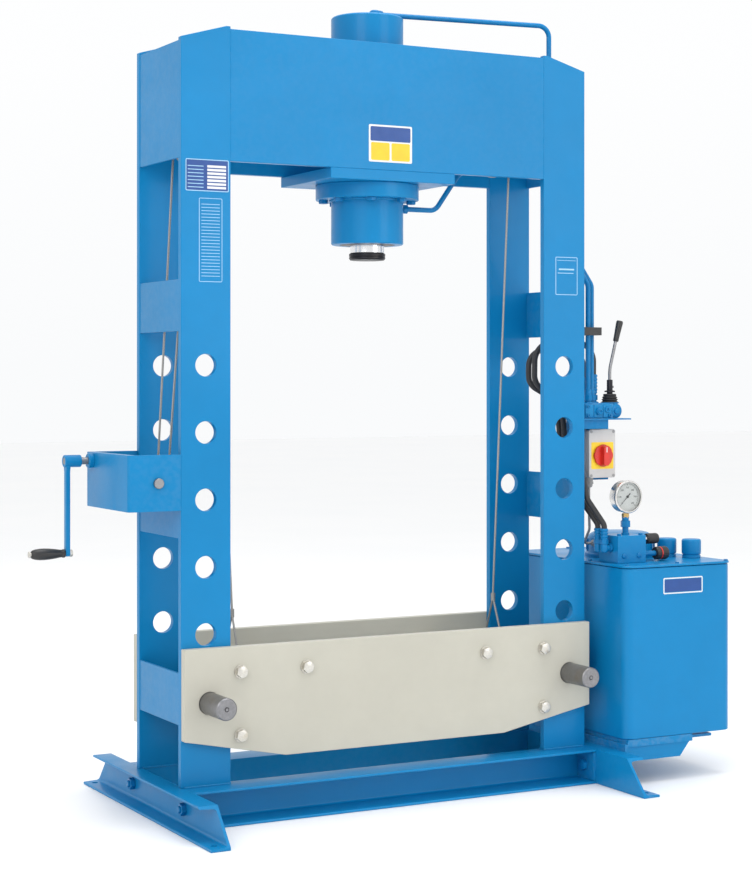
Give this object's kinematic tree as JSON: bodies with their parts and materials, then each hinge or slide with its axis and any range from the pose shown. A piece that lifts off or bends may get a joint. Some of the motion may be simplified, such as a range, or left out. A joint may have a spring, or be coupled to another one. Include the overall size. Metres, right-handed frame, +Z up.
{
  "type": "hydraulic workshop press",
  "caption": "Tall welded H-frame press with an overhead hydraulic ram, a rope-lifted pinned bolster, a hand winch on the left and an electric power pack on the right.",
  "frame": {"origin": "floor point under the ram axis, midway between the columns and between their front and rear bars", "axes": "+Z up along the ram, +X along the bed towards the power pack, -Y towards the operator"},
  "size_m": [2.075, 0.948, 2.272],
  "materials": {
    "press_blue": "semi-gloss",
    "label_film": "satin",
    "gauge_window": "polished",
    "hose_rubber": "matte",
    "yellow_plastic": "gloss",
    "bolster_paint": "satin",
    "dark_steel": "satin",
    "bright_steel": "polished",
    "pin_steel": "satin",
    "plated_bolts": "satin",
    "brass": "satin",
    "rope_steel": "satin",
    "black_plastic": "satin",
    "black_rubber": "matte",
    "grey_plastic": "satin",
    "red_plastic": "gloss",
    "gauge_metal": "polished"
  },
  "bodies": {
    "frame": {"left_front_bar": "press_blue", "left_rear_bar": "press_blue", "right_front_bar": "press_blue", "right_rear_bar": "press_blue", "side_plates": "press_blue", "beam_cheeks": "press_blue", "left_foot": "press_blue", "right_foot": "press_blue", "base_rails": "press_blue", "cylinder_plate": "press_blue", "cylinder_flange": "press_blue", "cylinder_barrel": "press_blue", "rod_gland": "dark_steel", "frame_bolts": "plated_bolts", "bolster_plates": "bolster_paint", "bolster_spacers": "dark_steel", "bolster_bolts": "plated_bolts", "winch_housing": "press_blue", "pulley_axles": "dark_steel", "left_rope": "rope_steel", "right_rope": "rope_steel", "rope_slings": "rope_steel", "valve_bracket": "press_blue", "valve_body": "press_blue", "valve_boot": "black_rubber", "switch_box": "grey_plastic", "tank": "press_blue", "tank_lid": "press_blue", "tank_bracket": "press_blue", "motor": "press_blue", "pump": "dark_steel", "manifold": "press_blue", "breather_cap": "press_blue", "gauge_case": "gauge_metal", "gauge_stem": "brass", "top_pipe": "press_blue", "return_pipe": "press_blue", "pipe_clip": "black_plastic", "hoses": "hose_rubber", "pipe_unions": "press_blue", "switch_cable": "grey_plastic"},
    "ram": {"ram_piston": "dark_steel", "ram_rod": "bright_steel", "ram_tip": "dark_steel"},
    "left_pin": {"left_pin": "pin_steel"},
    "right_pin": {"right_pin": "pin_steel"},
    "drum": {"winch_drum": "dark_steel", "worm_wheel": "brass"},
    "crank": {"worm_shaft": "dark_steel", "crank_arm": "press_blue"},
    "crank_grip": {"crank_grip": "black_plastic"},
    "left_pulleys": {"left_pulleys": "dark_steel"},
    "right_pulley": {"right_pulley": "dark_steel"},
    "lever": {"valve_lever": "plated_bolts", "lever_grip": "black_plastic"},
    "switch_knob": {"switch_knob": "red_plastic"},
    "gauge_needle": {"gauge_needle": "black_plastic"},
    "relief_knob": {"relief_knob": "black_plastic"},
    "pressure_knob": {"pressure_knob": "black_plastic"},
    "filler_cap": {"filler_cap": "press_blue"}
  },
  "joints": [
    {"name": "ram_slide", "type": "slide", "parent": "frame", "child": "ram", "axis": [0, 0, -1], "range_m": [0, 0.35]},
    {"name": "left_pin_pull", "type": "slide", "parent": "frame", "child": "left_pin", "axis": [0, -1, 0], "range_m": [0, 0.4]},
    {"name": "right_pin_pull", "type": "slide", "parent": "frame", "child": "right_pin", "axis": [0, -1, 0], "range_m": [0, 0.4]},
    {"name": "crank_turn", "type": "hinge", "parent": "frame", "child": "crank", "pos_m": [-0.873, 0.112, 0.9705], "axis": [1, 0, 0], "continuous": true},
    {"name": "drum_turn", "type": "hinge", "parent": "frame", "child": "drum", "pos_m": [-0.715, 0, 0.918], "axis": [0, 1, 0], "continuous": true},
    {"name": "left_pulley_turn", "type": "hinge", "parent": "frame", "child": "left_pulleys", "pos_m": [-0.548, 0, 1.85], "axis": [0, 1, 0], "continuous": true},
    {"name": "right_pulley_turn", "type": "hinge", "parent": "frame", "child": "right_pulley", "pos_m": [0.354, -0.127, 1.85], "axis": [0, 1, 0], "continuous": true},
    {"name": "grip_spin", "type": "hinge", "parent": "crank", "child": "crank_grip", "pos_m": [-0.88, 0.112, 0.7175], "axis": [1, 0, 0], "continuous": true},
    {"name": "lever_tilt", "type": "hinge", "parent": "frame", "child": "lever", "pos_m": [0.778, -0.11, 1.115], "axis": [0, 1, 0], "range_deg": [-8, 8], "stiffness_Nm_per_rad": 8},
    {"name": "switch_turn", "type": "hinge", "parent": "frame", "child": "switch_knob", "pos_m": [0.744, -0.12, 0.964], "axis": [0, 1, 0], "range_deg": [0, 90]},
    {"name": "needle_turn", "type": "hinge", "parent": "frame", "child": "gauge_needle", "pos_m": [0.79, -0.1845, 0.841], "axis": [0, 1, 0], "range_deg": [0, 270]},
    {"name": "relief_turn", "type": "hinge", "parent": "frame", "child": "relief_knob", "pos_m": [0.83, -0.197, 0.668], "axis": [1, 0, 0], "range_deg": [0, 270]},
    {"name": "pressure_turn", "type": "hinge", "parent": "frame", "child": "pressure_knob", "pos_m": [0.83, -0.175, 0.711], "axis": [1, 0, 0], "range_deg": [0, 270]},
    {"name": "filler_turn", "type": "hinge", "parent": "frame", "child": "filler_cap", "pos_m": [1.045, -0.165, 0.645], "axis": [0, 0, 1], "range_deg": [0, 90]}
  ],
  "couplings": [
    {"joint": "crank_turn", "follows": "drum_turn", "ratio": 24},
    {"joint": "left_pulley_turn", "follows": "drum_turn", "ratio": -1},
    {"joint": "right_pulley_turn", "follows": "drum_turn", "ratio": -1}
  ]
}
